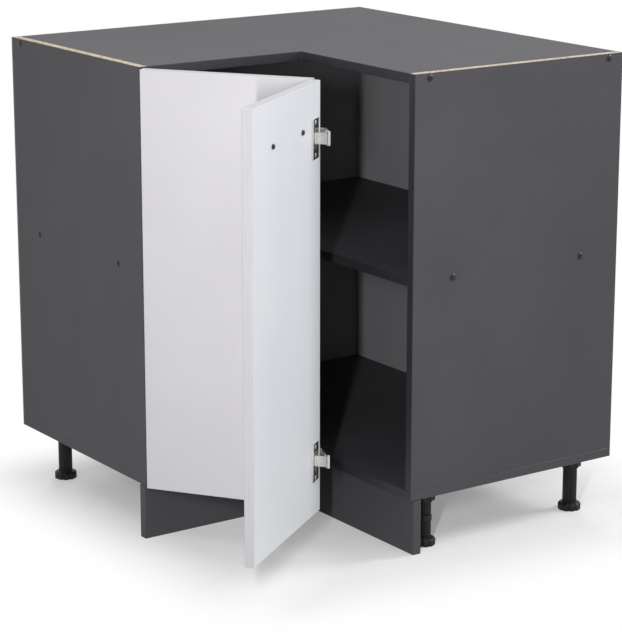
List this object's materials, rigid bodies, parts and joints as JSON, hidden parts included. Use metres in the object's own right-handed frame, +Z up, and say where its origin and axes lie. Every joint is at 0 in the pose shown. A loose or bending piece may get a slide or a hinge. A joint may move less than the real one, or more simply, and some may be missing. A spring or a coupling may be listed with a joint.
{
  "type": "corner kitchen cabinet",
  "caption": "L-shaped corner base cabinet with a fixed shelf, plinth, levelling feet and a folding pair of doors on parallelogram cup hinges.",
  "frame": {"origin": "corner of the two room walls at floor level, behind the cabinet", "axes": "+Z up, +X out of the right wing's back, +Y out of the left wing's back"},
  "size_m": [0.8396, 0.8785, 0.812],
  "materials": {
    "dark_board": "anthracite melamine",
    "back_board": "dark coated hardboard",
    "white_board": "white satin melamine",
    "beech": "bare beech",
    "cap_plastic": "grey moulded",
    "black_plastic": "black moulded",
    "nickel": "bright nickel plate",
    "steel_screw": "zinc plate",
    "handle_metal": "brushed"
  },
  "bodies": {
    "carcass": {"bottom_panel": "dark_board", "top_panel": "dark_board", "shelf": "dark_board", "left_side_panel": "dark_board", "right_side_panel": "dark_board", "back_panel_left": "back_board", "back_panel_right": "back_board", "carcass_screws": "steel_screw", "carcass_dowels": "beech", "screw_caps": "cap_plastic", "plinth_left": "dark_board", "plinth_right": "dark_board", "plinth_joint_plate": "black_plastic", "plinth_clips": "black_plastic", "leg_sockets": "black_plastic", "leg_tubes": "black_plastic", "swing_hinge_plates": "nickel", "swing_plate_screws": "steel_screw", "swing_hinge_arms": "nickel", "swing_arm_screws": "steel_screw", "swing_arm_pins": "nickel"},
    "leaf_a": {"door_leaf_a": "white_board", "swing_hinge_cups": "nickel", "swing_cup_screws": "steel_screw", "swing_cup_pins": "nickel", "fold_hinge_plates": "nickel", "fold_plate_screws": "steel_screw", "fold_hinge_arms": "nickel", "fold_arm_screws": "steel_screw", "fold_arm_pins": "nickel"},
    "leaf_b": {"door_leaf_b": "white_board", "fold_hinge_cups": "nickel", "fold_cup_screws": "steel_screw", "fold_cup_pins": "nickel", "handle": "handle_metal", "handle_screws": "steel_screw"},
    "swing_crank": {"swing_cranks": "nickel", "swing_crank_pins": "nickel"},
    "swing_coupler": {"swing_couplers": "nickel"},
    "fold_crank": {"fold_cranks": "nickel", "fold_crank_pins": "nickel"},
    "fold_coupler": {"fold_couplers": "nickel"},
    "left_back_foot": {"foot_left_back": "black_plastic"},
    "left_front_foot": {"foot_left_front": "black_plastic"},
    "back_corner_foot": {"foot_back_corner": "black_plastic"},
    "inner_corner_foot": {"foot_inner_corner": "black_plastic"},
    "right_back_foot": {"foot_right_back": "black_plastic"},
    "right_front_foot": {"foot_right_front": "black_plastic"}
  },
  "joints": [
    {"name": "leaf_a_swing", "type": "hinge", "parent": "carcass", "child": "leaf_a", "pos_m": [-0.7551, -0.4474, 0.4545], "axis": [0, 0, -1], "range_deg": [-55, 80]},
    {"name": "leaf_b_fold", "type": "hinge", "parent": "leaf_a", "child": "leaf_b", "pos_m": [-0.59755, -0.69611, 0.4545], "axis": [0, 0, -1], "range_deg": [0, 60]},
    {"name": "swing_crank_turn", "type": "hinge", "parent": "carcass", "child": "swing_crank", "pos_m": [-0.72369, -0.43439, 0.4545], "axis": [0, 0, -1], "range_deg": [-55, 80]},
    {"name": "swing_coupler_turn", "type": "hinge", "parent": "swing_crank", "child": "swing_coupler", "pos_m": [-0.71413, -0.44735, 0.4545], "axis": [0, 0, -1], "range_deg": [-80, 55]},
    {"name": "fold_crank_turn", "type": "hinge", "parent": "leaf_a", "child": "fold_crank", "pos_m": [-0.58269, -0.71233, 0.4545], "axis": [0, 0, -1], "range_deg": [0, 60]},
    {"name": "fold_coupler_turn", "type": "hinge", "parent": "fold_crank", "child": "fold_coupler", "pos_m": [-0.59063, -0.73499, 0.4545], "axis": [0, 0, -1], "range_deg": [-60, 0]},
    {"name": "left_back_foot_screw", "type": "slide", "parent": "carcass", "child": "left_back_foot", "axis": [0, 0, -1], "range_m": [0, 0.02]},
    {"name": "left_front_foot_screw", "type": "slide", "parent": "carcass", "child": "left_front_foot", "axis": [0, 0, -1], "range_m": [0, 0.02]},
    {"name": "back_corner_foot_screw", "type": "slide", "parent": "carcass", "child": "back_corner_foot", "axis": [0, 0, -1], "range_m": [0, 0.02]},
    {"name": "inner_corner_foot_screw", "type": "slide", "parent": "carcass", "child": "inner_corner_foot", "axis": [0, 0, -1], "range_m": [0, 0.02]},
    {"name": "right_back_foot_screw", "type": "slide", "parent": "carcass", "child": "right_back_foot", "axis": [0, 0, -1], "range_m": [0, 0.02]},
    {"name": "right_front_foot_screw", "type": "slide", "parent": "carcass", "child": "right_front_foot", "axis": [0, 0, -1], "range_m": [0, 0.02]}
  ],
  "couplings": [
    {"joint": "swing_crank_turn", "follows": "leaf_a_swing", "ratio": 1},
    {"joint": "swing_coupler_turn", "follows": "leaf_a_swing", "ratio": -1},
    {"joint": "fold_crank_turn", "follows": "leaf_b_fold", "ratio": 1},
    {"joint": "fold_coupler_turn", "follows": "leaf_b_fold", "ratio": -1}
  ]
}
